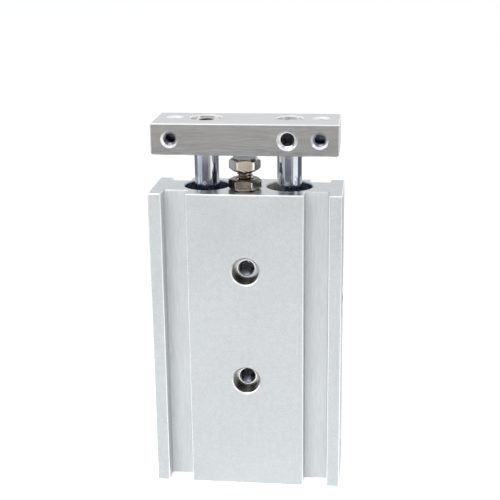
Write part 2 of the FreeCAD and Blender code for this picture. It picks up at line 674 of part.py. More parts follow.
def make_all():
    parts = [make_housing(), make_lock_nut(), make_bumper_bolt(), make_bolt_bumper()]
    for side, x in (("left", "-rod_pitch / 2"), ("right", "rod_pitch / 2")):
        parts.append(make_rod_cover("rod_cover_" + side, x))
        parts.append(make_rod_seal("rod_seal_" + side, x))
        parts.append(make_washer("seal_retainer_" + side, x))
        parts.append(make_retaining_ring("rod_end_ring_" + side, x, "rod_ring_bottom"))
        parts.append(make_head_cover("head_cover_" + side, x))
        ring_z = "head_cover_bottom - ring_thickness"
        parts.append(make_retaining_ring("head_end_ring_" + side, x, ring_z))
    for end, height in (("lower", "head_port"), ("upper", "rod_port")):
        parts.append(make_port_plug("port_plug_" + end, height))
    rod_tops = {"a": "(plate_bottom + rod_seat_depth)", "b": "(plate_top - rod_end_recess)"}
    for letter, x in (("a", "-rod_pitch / 2"), ("b", "rod_pitch / 2")):
        parts.append(make_rod("piston_rod_" + letter, x, rod_tops[letter], tapped=letter == "a"))
        parts.append(make_piston("piston_" + letter, x))
        parts.append(make_piston_seal("piston_seal_" + letter, x))
        parts.append(make_magnet("magnet_" + letter, x))
        parts.append(make_holder("piston_holder_" + letter, x))
        parts.append(make_rod_side_bumper("rod_side_bumper_" + letter, x))
        parts.append(make_head_side_bumper("head_side_bumper_" + letter, x))
    parts += [make_plate(), make_cap_screw(), make_set_screw()]
    return parts


def check_all(parts):
    """Stops before anything is written if a feature failed or a sub-part is not one sound solid."""
    for item in doc.Objects:
        if "Invalid" in item.State or "Error" in item.State:
            raise RuntimeError(f"{item.Label} failed: {item.State}")
    for part in parts:
        if part.Shape.isNull() or not part.Shape.isValid() or len(part.Shape.Solids) != 1:
            raise RuntimeError(f"{part.Label} is not one valid solid")


def check_cuts(parts):
    """Every cutting feature has to take material away from the feature before it."""
    cutting = ("PartDesign::Pocket", "PartDesign::Groove", "PartDesign::Hole")
    for part in parts:
        for item in getattr(part, "Group", []):
            if item.TypeId in cutting and item.Shape.Volume >= item.BaseFeature.Shape.Volume - 1e-6:
                raise RuntimeError(f"{part.Label}: {item.Label} cuts nothing")


def write_all(parts):
    os.makedirs("parts", exist_ok=True)
    for part in parts:
        part.Shape.exportStep(f"parts/{part.Label}.step")


fill_sheets()
sub_parts = make_all()
doc.recompute()
check_all(sub_parts)
check_cuts(sub_parts)
write_all(sub_parts)
print(len(sub_parts), "sub-parts, body length", amount("body_length"))
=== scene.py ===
import math

import bmesh
import bpy
import numpy as np
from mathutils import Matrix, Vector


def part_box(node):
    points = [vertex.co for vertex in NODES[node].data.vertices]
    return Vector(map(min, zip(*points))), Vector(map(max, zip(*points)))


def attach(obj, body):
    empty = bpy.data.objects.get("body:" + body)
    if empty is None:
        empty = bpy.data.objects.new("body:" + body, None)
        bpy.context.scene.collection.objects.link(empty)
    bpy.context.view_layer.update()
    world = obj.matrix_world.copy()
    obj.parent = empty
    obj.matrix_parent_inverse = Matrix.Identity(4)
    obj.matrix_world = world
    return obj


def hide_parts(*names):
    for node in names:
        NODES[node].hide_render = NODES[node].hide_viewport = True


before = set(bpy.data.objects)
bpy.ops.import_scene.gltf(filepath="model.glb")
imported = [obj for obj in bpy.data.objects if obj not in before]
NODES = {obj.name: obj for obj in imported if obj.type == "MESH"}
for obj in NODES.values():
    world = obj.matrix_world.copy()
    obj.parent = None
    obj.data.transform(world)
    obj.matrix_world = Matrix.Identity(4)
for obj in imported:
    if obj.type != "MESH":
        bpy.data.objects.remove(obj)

bl_info = {
    "name": "Twin-rod air cylinder",
    "version": (1, 0, 0),
    "blender": (4, 5, 0),
    "location": "View3D > Sidebar > Cylinder",
    "description": "Finishes and small threaded pieces of a twin-rod guided air cylinder",
    "category": "Object",
}

TURN = 2 * math.pi

# Places and thread radii that the solids share with the pieces below, in metres.
MOUNT_HEIGHTS = {"lower": 0.028, "upper": 0.056}
PLATE_HOLES = {"left": -0.0175, "right": 0.0175}
M3, M4, M5 = 0.0015, 0.0020, 0.0025
SCREW_GAP = 0.00005  # a screw's thread inside its hole's, on the radius
SCREW_DEPTH, HOLE_DEPTH = 0.61, 0.54  # depth of a screw's and of a hole's thread, in pitches
TIP = 0.0003  # length of the chamfer at a screw's tip
SOCKET_CONE = 0.1  # depth of the cone in a socket's floor, in flats
INSET = 0.00001  # the least depth of a hidden face in its node's box, and of a cut thread in its wall
LEVEL = 0.97  # cosine of the angle from which a face counts as level with an axis
SHARP = math.radians(25)  # edges between faces that differ by more stay sharp
FINE, COARSE = 288, 96  # points round a hexagon and round a plain turned shape


def low(node):
    return np.array(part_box(node)[0])


def high(node):
    return np.array(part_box(node)[1])


def middle(node):
    return (low(node) + high(node)) / 2


# ---------------------------------------------------------------- sizes and colours a user may change


def length(name, text, value):
    return bpy.props.FloatProperty(name=name, description=text, default=value, min=0.0, precision=5,
                                   subtype="DISTANCE", unit="LENGTH")


def colour(name, text, value):
    return bpy.props.FloatVectorProperty(name=name, description=text, default=value, size=3, min=0.0, max=1.0,
                                         subtype="COLOR")


class CYL_PG_threads(bpy.types.PropertyGroup):
    stop_pitch: length("Stop bolt pitch", "Thread pitch of the stop bolt and its nut", 0.0007)
    plate_pitch: length("Plate hole pitch", "Thread pitch of the plate's outer holes", 0.0005)
    port_pitch: length("Port pitch", "Thread pitch of the air ports and their plugs", 0.0008)
    edge_break: length("Edge break", "Width of the broken edges on screws and nuts", 0.00007)
    knurl_depth: length("Knurl depth", "Depth of the grooves round the cap screw's head", 0.00012)
    knurl_count: bpy.props.IntProperty(name="Knurl grooves", description="Grooves round the cap screw's head",
                                       default=48, min=12, max=120)


class CYL_PG_colours(bpy.types.PropertyGroup):
    housing: colour("Housing", "Satin anodised housing", (0.72, 0.75, 0.76))
    plate: colour("Plate", "Brushed anodised end plate", (0.59, 0.612, 0.63))
    chrome: colour("Chrome", "Hard chrome of the rods", (0.63, 0.66, 0.73))
    bolt: colour("Stop bolt", "Warm bright plating of the stop bolt", (1.0, 0.94, 0.82))
    nut: colour("Lock nut", "Warm plating of the lock nut", (0.66, 0.57, 0.48))
    bore: colour("Bores", "Honed and hard anodised walls of the bores", (0.38, 0.44, 0.54))
    black: colour("Set screw", "Black oxide of the set screw", (0.008, 0.008, 0.009))
    floor: colour("Floor", "Pale floor under the cylinder", (0.86, 0.87, 0.88))


class CYL_PG_stage(bpy.types.PropertyGroup):
    key_power: bpy.props.FloatProperty(name="Key light", description="Power of the large light above", default=3.0,
                                       min=0.0, unit="POWER")
    side_power: bpy.props.FloatProperty(name="Side lights", description="Power of each light at the sides",
                                        default=0.6, min=0.0, unit="POWER")
    sky: bpy.props.FloatProperty(name="Sky", description="Strength of the even light from all round", default=0.5,
                                 min=0.0, max=1.0)


# ---------------------------------------------------------------- surfaces


def ring_angles(columns):
    return np.arange(columns) * TURN / columns


def hexagon_radius(flats, angles):
    """Distance from a hexagon's middle to its side in each direction: half the flats over the cosine of the
    angle to the nearest flat. Two flats face front and back."""
    return flats / 2 / np.cos(np.mod(angles, TURN / 6) - TURN / 12)


def turned_grid(heights, radii, columns=COARSE):
    """A profile of heights and radii carried once round the axis; radii may also change with the angle."""
    angles = ring_angles(columns)
    radii = np.broadcast_to(np.asarray(radii, float).reshape(len(heights), -1), (len(heights), columns))
    z = np.broadcast_to(np.asarray(heights, float)[:, None], radii.shape)
    return np.stack([radii * np.cos(angles), radii * np.sin(angles), z], axis=-1)


def hexagon_grid(flats, bottom, top, edge, face, slope):
    """The sides of a hexagon nut or head: in each direction the radius is the smallest of the hexagon's, a
    cylinder that breaks its corners, and cones that rise at a slope from a round face at each end."""
    rows = 11
    angles = ring_angles(FINE)
    side = np.minimum(hexagon_radius(flats, angles), flats / math.sqrt(3) - edge)
    steep = math.tan(math.radians(slope))
    rise = (flats / math.sqrt(3) - face) * steep
    steps = np.linspace(0, 1, rows)
    heights = np.concatenate([bottom + steps * rise, top - rise + steps * rise])
    cones = face + np.minimum(heights - bottom, top - heights) / steep
    return turned_grid(heights, np.minimum(cones[:, None], side[None, :]), FINE)


def thread_grid(major, minor, pitch, bottom, top):
    """A V thread: the profile root, flank, crest, flank of one pitch is carried round and up a helix. Its depth
    grows from nothing over the first half turn and fades over the last, and it is cut off level at both ends."""
    columns = 48
    turns = (top - bottom) / pitch + 1
    steps = int(math.ceil(turns * columns))
    travel = np.linspace(-0.5, turns - 0.5, steps + 1)
    across = np.array([0.0, 0.10, 0.44, 0.56, 0.90, 1.0])
    depth = np.array([0.0, 0.0, 1.0, 1.0, 0.0, 0.0])
    ends = np.clip(np.minimum(travel + 0.5, turns - 0.5 - travel) * 2, 0, 1)
    z = bottom + (travel[None, :] + across[:, None] - 0.5) * pitch
    fade = 0.35 * pitch
    edges = np.clip(np.minimum(z - bottom, top - z) / fade, 0, 1)
    radius = minor + (major - minor) * depth[:, None] * ends[None, :] * edges
    z = np.clip(z, bottom, top)
    angle = travel[None, :] * TURN
    return np.stack([radius * np.cos(angle), radius * np.sin(angle), z], axis=-1)


def grid_faces(rows, columns, closed, start, flip):
    """Four-sided faces between neighbouring points of a grid, joined end to end round it if it is closed."""
    row, column = np.meshgrid(np.arange(rows - 1), np.arange(columns if closed else columns - 1), indexing="ij")
    beside = (column + 1) % columns
    corners = [row * columns + column, row * columns + beside, (row + 1) * columns + beside,
               (row + 1) * columns + column]
    faces = np.stack(corners, axis=-1).reshape(-1, 4) + start
    return faces[:, ::-1] if flip else faces


def axis_turn(axis):
    """Rotation that carries +Z to the given axis: a turn about X for the Y axis, about Y for the X axis."""
    turns = {
        "+Z": ((1, 0, 0), (0, 1, 0), (0, 0, 1)),
        "-Y": ((1, 0, 0), (0, 0, -1), (0, 1, 0)),
        "+Y": ((1, 0, 0), (0, 0, 1), (0, -1, 0)),
        "+X": ((0, 0, 1), (0, 1, 0), (-1, 0, 0)),
        "-X": ((0, 0, -1), (0, 1, 0), (1, 0, 0)),
    }
    return np.array(turns[axis], float)


def make_piece(name, grids, place, axis="+Z", turn=0.0, inside=False):
    """One mesh from several grids of points, each (points, closed), turned about its axis, laid along the given
    axis and moved to its place in the row frame. Inside means that the faces look towards the axis."""
    points, faces, count = [], [], 0
    for grid, closed in grids:
        rows, columns = grid.shape[:2]
        points.append(grid.reshape(-1, 3))
        faces.append(grid_faces(rows, columns, closed, count, inside))
        count += rows * columns
    points, faces = np.concatenate(points), np.concatenate(faces)
    cosine, sine = math.cos(turn), math.sin(turn)
    points = points @ np.array([[cosine, sine, 0], [-sine, cosine, 0], [0, 0, 1]])
    points = points @ axis_turn(axis).T + np.asarray(place, float)
    mesh = bpy.data.meshes.new(name)
    mesh.from_pydata(points.tolist(), [], faces.tolist())
    work = bmesh.new()
    work.from_mesh(mesh)
    bmesh.ops.remove_doubles(work, verts=work.verts, dist=0.0000001)
    bmesh.ops.dissolve_degenerate(work, edges=work.edges, dist=0.00000001)
    work.to_mesh(mesh)
    work.free()
    mesh.polygons.foreach_set("use_smooth", np.ones(len(mesh.polygons), bool))
    mesh.set_sharp_from_angle(angle=SHARP)
    mesh.update()
    piece = bpy.data.objects.new(name, mesh)
    bpy.context.scene.collection.objects.link(piece)
    return piece


def finish_piece(piece, finish, body, slot, *replaced, others=()):
    """Paints a piece, and says which body it rides and which nodes it replaces; its slot is not used."""
    paint(piece, finish, *others)
    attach(piece, body)
    if replaced:
        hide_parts(*replaced)


# ---------------------------------------------------------------- finishes


GROUP_INPUTS = [("Vector", "NodeSocketVector"), ("Light", "NodeSocketColor"), ("Dark", "NodeSocketColor"),
                ("Smooth", "NodeSocketFloat"), ("Rough", "NodeSocketFloat")]
GROUP_OUTPUTS = [("Color", "NodeSocketColor"), ("Roughness", "NodeSocketFloat"), ("Height", "NodeSocketFloat")]


def add_node(tree, kind, **values):
    node = tree.nodes.new(kind)
    for key, value in values.items():
        setattr(node, key, value)
    return node


def new_group(name):
    """An empty finish group with the sockets that all finishes share."""
    tree = bpy.data.node_groups.new(name, "ShaderNodeTree")
    for label, kind in GROUP_INPUTS:
        tree.interface.new_socket(name=label, in_out="INPUT", socket_type=kind)
    for label, kind in GROUP_OUTPUTS:
        tree.interface.new_socket(name=label, in_out="OUTPUT", socket_type=kind)
    return tree, tree.nodes.new("NodeGroupInput"), tree.nodes.new("NodeGroupOutput")


def scaled(tree, vector, scale):
    node = add_node(tree, "ShaderNodeMapping")
    node.inputs["Scale"].default_value = scale
    tree.links.new(vector, node.inputs["Vector"])
    return node.outputs["Vector"]


def noise(tree, vector, scale, detail=3.0, roughness=0.55):
    node = add_node(tree, "ShaderNodeTexNoise")
    node.inputs["Scale"].default_value = scale
    node.inputs["Detail"].default_value = detail
    node.inputs["Roughness"].default_value = roughness
    tree.links.new(vector, node.inputs["Vector"])
    return node.outputs["Fac"]


def ranged(tree, value, start, end, new_start=0.0, new_end=1.0):
    node = add_node(tree, "ShaderNodeMapRange")
    for socket, number in zip(("From Min", "From Max", "To Min", "To Max"), (start, end, new_start, new_end)):
        node.inputs[socket].default_value = number
    tree.links.new(value, node.inputs["Value"])
    return node.outputs["Result"]


def blended(tree, factor, first, second, kind="RGBA"):
    """A mix of two links of colours or of numbers, whose sockets have places of their own on the node."""
    node = add_node(tree, "ShaderNodeMix", data_type=kind)
    start, end, out = (6, 7, 2) if kind == "RGBA" else (2, 3, 0)
    tree.links.new(factor, node.inputs[0])
    tree.links.new(first, node.inputs[start])
    tree.links.new(second, node.inputs[end])
    return node.outputs[out]


def summed(tree, first, second, weight):
    """The first link's value plus the second's times its weight."""
    node = add_node(tree, "ShaderNodeMath", operation="MULTIPLY_ADD")
    node.inputs[1].default_value = weight
    tree.links.new(second, node.inputs[0])
    tree.links.new(first, node.inputs[2])
    return node.outputs[0]


def close_group(tree, source, target, tone, shine, height):
    """Ends a finish group: tone picks between its light and dark colour, shine between smooth and rough."""
    tree.links.new(blended(tree, tone, source.outputs["Dark"], source.outputs["Light"]), target.inputs["Color"])
    tree.links.new(blended(tree, shine, source.outputs["Smooth"], source.outputs["Rough"], "FLOAT"),
                   target.inputs["Roughness"])
    tree.links.new(height, target.inputs["Height"])


def make_blasted():
    """Bead-blasted and anodised: fine even grain over very soft clouds."""
    tree, source, target = new_group("blasted_finish")
    vector = source.outputs["Vector"]
    fine, coarse = noise(tree, vector, 2600.0, 4.0, 0.7), noise(tree, vector, 700.0, 3.0, 0.6)
    cloud = noise(tree, vector, 45.0, 2.0)
    grain = summed(tree, ranged(tree, fine, 0.3, 0.7, 0.0, 0.6), ranged(tree, coarse, 0.3, 0.7), 0.25)
    tone = summed(tree, grain, ranged(tree, cloud, 0.35, 0.65), 0.25)
    close_group(tree, source, target, tone, ranged(tree, cloud, 0.35, 0.65), fine)


def make_brushed():
    """Drawn over an abrasive belt along X: long streaks that fade in and out."""
    tree, source, target = new_group("brushed_finish")
    vector = source.outputs["Vector"]
    streaks = noise(tree, scaled(tree, vector, (280.0, 3900.0, 3900.0)), 1.0, 4.0, 0.65)
    broad = noise(tree, scaled(tree, vector, (90.0, 500.0, 500.0)), 1.0, 2.0)
    tone = summed(tree, ranged(tree, streaks, 0.38, 0.62, 0.0, 0.7), ranged(tree, broad, 0.35, 0.65), 0.3)
    close_group(tree, source, target, tone, ranged(tree, streaks, 0.35, 0.65), streaks)


def make_turned():
    """Turned on a lathe about an axis along Z: fine rings round the axis, with a little stain."""
    tree, source, target = new_group("turned_finish")
    vector = source.outputs["Vector"]
    split = add_node(tree, "ShaderNodeSeparateXYZ")
    tree.links.new(vector, split.inputs[0])
    flat = add_node(tree, "ShaderNodeCombineXYZ")
    tree.links.new(split.outputs["X"], flat.inputs["X"])
    tree.links.new(split.outputs["Y"], flat.inputs["Y"])
    reach = add_node(tree, "ShaderNodeVectorMath", operation="LENGTH")
    tree.links.new(flat.outputs[0], reach.inputs[0])
    rings = add_node(tree, "ShaderNodeCombineXYZ")
    tree.links.new(reach.outputs["Value"], rings.inputs["X"])
    tree.links.new(split.outputs["Z"], rings.inputs["Y"])
    lines = noise(tree, rings.outputs[0], 5200.0, 2.0)
    stain = noise(tree, vector, 260.0, 3.0)
    tone = summed(tree, ranged(tree, lines, 0.3, 0.7, 0.0, 0.6), ranged(tree, stain, 0.35, 0.65), 0.4)
    close_group(tree, source, target, tone, ranged(tree, stain, 0.3, 0.7), lines)


def make_moulded():
    """Moulded rubber or plastic: soft pores and slightly shiny patches."""
    tree, source, target = new_group("moulded_finish")
    vector = source.outputs["Vector"]
    pores, patches = noise(tree, vector, 3000.0, 2.0), noise(tree, vector, 400.0, 2.0)
    tone = ranged(tree, patches, 0.3, 0.7)
    close_group(tree, source, target, tone, ranged(tree, patches, 0.35, 0.65), pores)


def new_material(name, group, light, dark, smooth, rough, bump, metallic=1.0, centre=(0, 0, 0), axis=""):
    """A finish group with its own values, feeding one Principled shader: light and dark are its colours, smooth
    and rough its roughness, bump its relief in metres, and centre is where a turned part's axis is. With axis Y
    the finish's own Z lies along Y, with axis Z its X lies along Z."""
    material = bpy.data.materials.new(name)
    material.use_nodes = True
    tree = material.node_tree
    shader = tree.nodes["Principled BSDF"]
    shader.inputs["Metallic"].default_value = metallic
    place = add_node(tree, "ShaderNodeTexCoord")
    shift = add_node(tree, "ShaderNodeMapping")
    shift.inputs["Location"].default_value = [-value for value in centre]
    if axis == "Y":
        shift.inputs["Rotation"].default_value = (math.pi / 2, 0, 0)
        shift.inputs["Location"].default_value = (-centre[0], centre[2], -centre[1])
    elif axis == "Z":
        shift.inputs["Rotation"].default_value = (0, math.pi / 2, 0)
    tree.links.new(place.outputs["Object"], shift.inputs["Vector"])
    finish = add_node(tree, "ShaderNodeGroup", node_tree=bpy.data.node_groups[group])
    tree.links.new(shift.outputs["Vector"], finish.inputs["Vector"])
    finish.inputs["Light"].default_value = (*light, 1.0)
    finish.inputs["Dark"].default_value = (*dark, 1.0)
    finish.inputs["Smooth"].default_value = smooth
    finish.inputs["Rough"].default_value = rough
    tree.links.new(finish.outputs["Color"], shader.inputs["Base Color"])
    tree.links.new(finish.outputs["Roughness"], shader.inputs["Roughness"])
    relief = add_node(tree, "ShaderNodeBump")
    relief.inputs["Strength"].default_value = 1.0
    relief.inputs["Distance"].default_value = bump
    tree.links.new(finish.outputs["Height"], relief.inputs["Height"])
    tree.links.new(relief.outputs["Normal"], shader.inputs["Normal"])


def shade(values, factor):
    return tuple(value * factor for value in values)


def faces_of(piece):
    """Middles and normals of a piece's faces, one row each."""
    faces = piece.data.polygons
    middles, normals = np.empty(len(faces) * 3), np.empty(len(faces) * 3)
    faces.foreach_get("center", middles)
    faces.foreach_get("normal", normals)
    return middles.reshape(-1, 3), normals.reshape(-1, 3)


def round_axis(points, axis, first, second, radius):
    """Which points are nearer than a radius to a line along an axis, through two places in the other axes' order."""
    others = np.delete(points, axis, axis=1)
    return np.hypot(others[:, 0] - first, others[:, 1] - second) < radius


def inside_box(node, middles):
    """Which points lie inside a node's box, clear of all its sides."""
    return np.all((middles > low(node) + INSET) & (middles < high(node) - INSET), axis=1)


def paint(piece, finish, *others):
    """Gives a piece its finish, and each of the others, (finish, mask of faces), to its own faces."""
    mesh = piece.data
    mesh.materials.clear()
    index = np.zeros(len(mesh.polygons), dtype=np.int32)
    mesh.materials.append(bpy.data.materials[finish])
    for number, (other, mask) in enumerate(others, start=1):
        mesh.materials.append(bpy.data.materials[other])
        index[mask] = number
    mesh.polygons.foreach_set("material_index", index)
    mesh.update()


class CYL_OT_finishes(bpy.types.Operator):
    """Builds every finish and gives each modelled piece its own"""
    bl_idname = "cyl.finishes"
    bl_label = "Finishes"

    def execute(self, context):
        colours = context.scene.cyl_colours
        make_blasted()
        make_brushed()
        make_turned()
        make_moulded()
        self.paint_housing(colours)
        self.paint_plate(colours)
        for letter in ("a", "b"):
            node = "piston_rod_" + letter
            chrome, sawn = "hard_chrome_" + letter, "cut_rod_end_" + letter
            new_material(chrome, "turned_finish", colours.chrome, shade(colours.chrome, 0.9), 0.09, 0.13, 0.0000002,
                         centre=middle(node))
            new_material(sawn, "turned_finish", (0.95, 0.94, 0.92), (0.22, 0.21, 0.21), 0.2, 0.3, 0.000002,
                         metallic=0.7, centre=middle(node))
            upwards = faces_of(NODES[node])[1][:, 2] > 0.5
            paint(NODES[node], chrome, (sawn, upwards))
        bolt, nut = middle("bumper_bolt"), middle("lock_nut")
        new_material("bright_plating", "turned_finish", colours.bolt, shade(colours.bolt, 0.85), 0.14, 0.22, 0.000001,
                     centre=bolt)
        # painted shade: the bolt's thread is painted darker than its head, in the nut's colour
        new_material("bolt_thread_painted_shade", "turned_finish", shade(colours.nut, 0.75), shade(colours.nut, 0.5), 0.12, 0.2,
                     0.000001, centre=bolt)
        new_material("dull_plating", "turned_finish", colours.nut, shade(colours.nut, 0.8), 0.10, 0.18, 0.000001,
                     centre=nut)
        # painted shade: a darker copy of the nut's plating for its ends, cones and left sides
        new_material("painted_shade_plating", "turned_finish", shade(colours.nut, 0.22), shade(colours.nut, 0.11), 0.24,
                     0.34, 0.000001, centre=nut)
        new_material("cap_screw_steel", "turned_finish", (0.98, 0.96, 0.92), (0.50, 0.47, 0.43), 0.16, 0.26, 0.000002,
                     centre=middle("cap_screw"))
        # the set screw's own black oxide; in the cap screw's socket the same black is painted shade
        new_material("black_oxide", "moulded_finish", colours.black, shade(colours.black, 0.5), 0.38, 0.52, 0.000003,
                     metallic=0.1)
        new_material("plug_plating", "moulded_finish", (0.28, 0.28, 0.29), (0.17, 0.17, 0.18), 0.3, 0.42, 0.000003)
        new_material("cut_thread", "moulded_finish", (0.80, 0.81, 0.82), (0.50, 0.51, 0.53), 0.2, 0.35, 0.000002)
        new_material("top_thread", "moulded_finish", (0.62, 0.64, 0.66), (0.12, 0.13, 0.14), 0.2, 0.35, 0.000002)
        # painted shade: threads deep in the plate's front holes and the mounting holes are painted dark
        new_material("deep_thread_painted_shade", "moulded_finish", (0.18, 0.20, 0.24), (0.09, 0.10, 0.125), 0.2, 0.35, 0.000002)
        new_material("smooth_pad", "moulded_finish", (0.72, 0.76, 0.80), (0.64, 0.68, 0.73), 0.25, 0.4, 0.000002,
                     metallic=0.0)
        paint(NODES["bolt_bumper"], "smooth_pad")
        self.paint_inside()
        return {"FINISHED"}

    def paint_housing(self, colours):
        """Blasted outside, with milled ends, drawn grooves painted lighter as painted light, a painted highlight on
        the broken edges, turned counterbores with painted shade on their walls, painted shade in the holes and dark
        honed bores, the one on the right with a painted highlight on its wall at its mouth."""
        new_material("anodised_housing", "blasted_finish", colours.housing, shade(colours.housing, 0.74), 0.42, 0.52,
                     0.000009, metallic=0.45)
        # painted light: the groove floors are painted lighter than the housing, against the shade in the grooves
        new_material("painted_light_grooves", "brushed_finish", (0.785, 0.81, 0.82), (0.675, 0.70, 0.71), 0.42, 0.52,
                     0.000002, metallic=0.45, axis="Z")
        # painted highlight: broken edges, the plate's holes and the mounting holes' edges are painted brighter than
        # the housing
        new_material("edge_painted_highlight", "blasted_finish", (0.93, 0.94, 0.95), (0.84, 0.85, 0.86), 0.24, 0.34, 0.000002,
                     metallic=0.8)
        new_material("milled_ends", "brushed_finish", (0.57, 0.60, 0.62), (0.49, 0.52, 0.54), 0.25, 0.31, 0.000001,
                     metallic=0.9)
        # painted shade: the walls of the tapped holes, the counterbores' through holes and the ports are painted near
        # black
        new_material("painted_shade_holes", "blasted_finish", (0.07, 0.07, 0.068), (0.03, 0.03, 0.029), 0.18, 0.28, 0.000004,
                     metallic=0.6)
        # painted highlight: a lighter wall at the mouth of the right bore, on the side facing right
        new_material("wall_painted_highlight", "moulded_finish", (0.80, 0.75, 0.71), (0.40, 0.37, 0.35), 0.3, 0.4, 0.000001,
                     metallic=0.3)
        new_material("honed_bores", "moulded_finish", colours.bore, shade(colours.bore, 0.6), 0.2, 0.32, 0.000001,
                     metallic=0.9)
        middles, normals = faces_of(NODES["housing"])
        start, end = low("housing"), high("housing")
        hidden = inside_box("housing", middles)
        # The walls of each hole lie within such a distance of its axis, and broken edges of a side of the box.
        sunk, tapped, ported, bored, edge = 0.0037, 0.0024, 0.0031, 0.0062, 0.0004
        # The grooves lie further than this from the middle; the bores' mouths are this deep above their rings.
        groove, mouth = 0.0125, 0.0033
        in_holes, in_bores = np.zeros(len(middles), bool), np.zeros(len(middles), bool)
        facing_front = np.abs(normals[:, 1]) > LEVEL
        counterbores = []
        for name, height in MOUNT_HEIGHTS.items():
            faced, wall, centre = "spot_faced_" + name, "painted_shade_wall_" + name, (0, 0, height)
            new_material(faced, "turned_finish", (0.52, 0.52, 0.50), (0.20, 0.20, 0.195), 0.14, 0.22, 0.000002,
                         centre=centre, axis="Y")
            # painted shade: each counterbore's wall is painted dark
            new_material(wall, "turned_finish", (0.22, 0.215, 0.205), (0.02, 0.02, 0.019), 0.14, 0.22, 0.000004,
                         metallic=0.7, centre=centre, axis="Y")
            around = round_axis(middles, 1, 0, height, sunk)
            wide = around & ~round_axis(middles, 1, 0, height, tapped)
            counterbores.append((wall, hidden & wide & ~facing_front))
            counterbores.append((faced, hidden & around & facing_front))
            plug = middle("port_plug_" + name)
            in_holes |= around | round_axis(middles, 0, plug[1], plug[2], ported)
        nut = middle("lock_nut")
        in_holes |= round_axis(middles, 2, nut[0], nut[1], tapped)
        for rod in ("piston_rod_a", "piston_rod_b"):
            place = middle(rod)
            in_bores |= round_axis(middles, 2, place[0], place[1], bored)
        in_bores &= hidden & ~in_holes
        in_holes &= hidden
        level = np.abs(normals).max(axis=1) > LEVEL
        broken = ~level & np.any((middles < start + edge) | (middles > end - edge), axis=1)
        ends = np.abs(normals[:, 2]) > LEVEL
        in_grooves = facing_front & hidden & (np.abs(middles[:, 0]) > groove)
        facing_right = normals[:, 0] > 0.55
        # painted highlight on the right bore's wall near its mouth, where it faces right
        painted_highlight_faces = in_bores & facing_right & (middles[:, 0] > 0) & (middles[:, 2] > end[2] - mouth)
        paint(NODES["housing"], "anodised_housing", ("milled_ends", ends & ~hidden), ("painted_light_grooves", in_grooves),
              ("painted_shade_holes", in_holes), ("honed_bores", in_bores), ("wall_painted_highlight", painted_highlight_faces), *counterbores,
              ("edge_painted_highlight", broken & ~in_bores))

    def paint_plate(self, colours):
        """Brushed front, back, top and underside, finely blasted ends, and a painted highlight on the broken edges
        and in the holes.
        """
        new_material("brushed_plate", "brushed_finish", colours.plate, shade(colours.plate, 0.74), 0.20, 0.26,
                     0.0000008)
        new_material("plate_ends", "blasted_finish", colours.plate, shade(colours.plate, 0.94), 0.28, 0.36, 0.0000004)
        middles, normals = faces_of(NODES["plate"])
        level = np.abs(normals).max(axis=1) > LEVEL
        paint(NODES["plate"], "brushed_plate", ("plate_ends", np.abs(normals[:, 0]) > LEVEL),
              ("edge_painted_highlight", ~level | inside_box("plate", middles)))

    def paint_inside(self):
        """The pieces in the bores, each turned about its own bore's axis or moulded."""
        turned = {
            "rod_cover": ((0.62, 0.57, 0.50), (0.46, 0.42, 0.36), 0.3, 0.45),
            "head_cover": ((0.68, 0.70, 0.72), (0.50, 0.52, 0.54), 0.28, 0.42),
            "seal_retainer": ((0.22, 0.24, 0.28), (0.11, 0.12, 0.15), 0.25, 0.45),
            "rod_end_ring": ((0.10, 0.105, 0.12), (0.05, 0.052, 0.06), 0.25, 0.45),
            "head_end_ring": ((0.05, 0.052, 0.06), (0.025, 0.026, 0.03), 0.25, 0.45),
            "piston": ((0.70, 0.71, 0.72), (0.52, 0.53, 0.55), 0.22, 0.36),
            "piston_holder": ((0.62, 0.63, 0.64), (0.45, 0.46, 0.48), 0.22, 0.36),
        }
        black, amber = ((0.020, 0.020, 0.022), (0.012, 0.012, 0.013)), ((0.48, 0.30, 0.10), (0.36, 0.21, 0.06))
        moulded = {"rod_seal": black, "piston_seal": black, "magnet": ((0.045, 0.045, 0.048), (0.025, 0.025, 0.027)),
                   "rod_side_bumper": amber, "head_side_bumper": amber}
        for node in NODES:
            stem, _, side = node.rpartition("_")
            if stem in turned:
                finish = f"{stem}_metal_{side}"
                new_material(finish, "turned_finish", *turned[stem], 0.000002, centre=middle(node))
                paint(NODES[node], finish)
            elif stem in moulded:
                finish = f"{stem}_rubber_{side}"
                new_material(finish, "moulded_finish", *moulded[stem], 0.45, 0.65, 0.000004, metallic=0.0)
                paint(NODES[node], finish)


# ---------------------------------------------------------------- small pieces


def socket_rows(flats, mouth, floor, face, columns):
    """From the edge of an end face at height mouth into a hexagon socket: a chamfer, the six walls, the floor."""
    hexagon = hexagon_radius(flats, ring_angles(columns))
    rim, chamfer = 1.04 * flats / math.sqrt(3), 0.08 * flats
    heights = [mouth, mouth, mouth - chamfer, floor, floor - SOCKET_CONE * flats]
    radii = [np.full(columns, face), np.full(columns, rim), hexagon, hexagon, np.zeros(columns)]
    return heights, radii


def shank_grids(major, minor, pitch, bottom, head, neck):
    """The tip, thread and neck of a screw between its bottom and the height of its head."""
    bevel = 0.0002
    tip = turned_grid([bottom, bottom, bottom + TIP], [0, minor - bevel, minor])
    thread = thread_grid(major, minor, pitch, bottom + TIP, head - neck)
    return [(tip, True), (thread, False), (turned_grid([head - neck, head], [minor, major]), True)]


